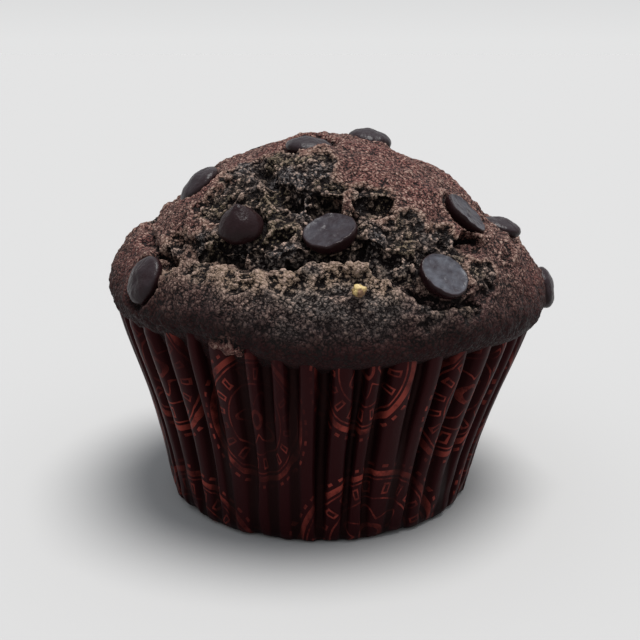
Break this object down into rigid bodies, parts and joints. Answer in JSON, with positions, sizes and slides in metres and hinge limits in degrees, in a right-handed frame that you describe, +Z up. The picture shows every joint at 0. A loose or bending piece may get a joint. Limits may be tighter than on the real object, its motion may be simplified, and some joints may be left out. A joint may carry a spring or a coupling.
{
  "type": "muffin",
  "caption": "Dark chocolate-chip muffin with a cracked, craggy dome, set in a pleated paper baking cup with a plain ring-and-arc print.",
  "frame": {"origin": "centre of the paper cup's underside, where it rests on a plate", "axes": "+Z up through the dome, -Y towards the muffin's front, which has the wide crack and the deep hollow under the brow, +X towards its right side"},
  "size_m": [0.0821, 0.08, 0.0674],
  "materials": {
    "crust": "matte",
    "printed_paper": "satin",
    "chocolate": "satin",
    "nut": "satin"
  },
  "bodies": {
    "root": {"muffin_cake": "crust", "paper_cup": "printed_paper", "chip_01": "chocolate", "chip_02": "chocolate", "chip_03": "chocolate", "chip_04": "chocolate", "chip_05": "chocolate", "chip_06": "chocolate", "chip_07": "chocolate", "chip_08": "chocolate", "chip_09": "chocolate", "chip_10": "chocolate", "chip_11": "chocolate", "chip_12": "chocolate", "chip_13": "chocolate", "chip_14": "chocolate", "chip_15": "chocolate", "chip_16": "chocolate", "chip_17": "chocolate", "chip_18": "chocolate", "nut_bit": "nut"}
  },
  "joints": []
}
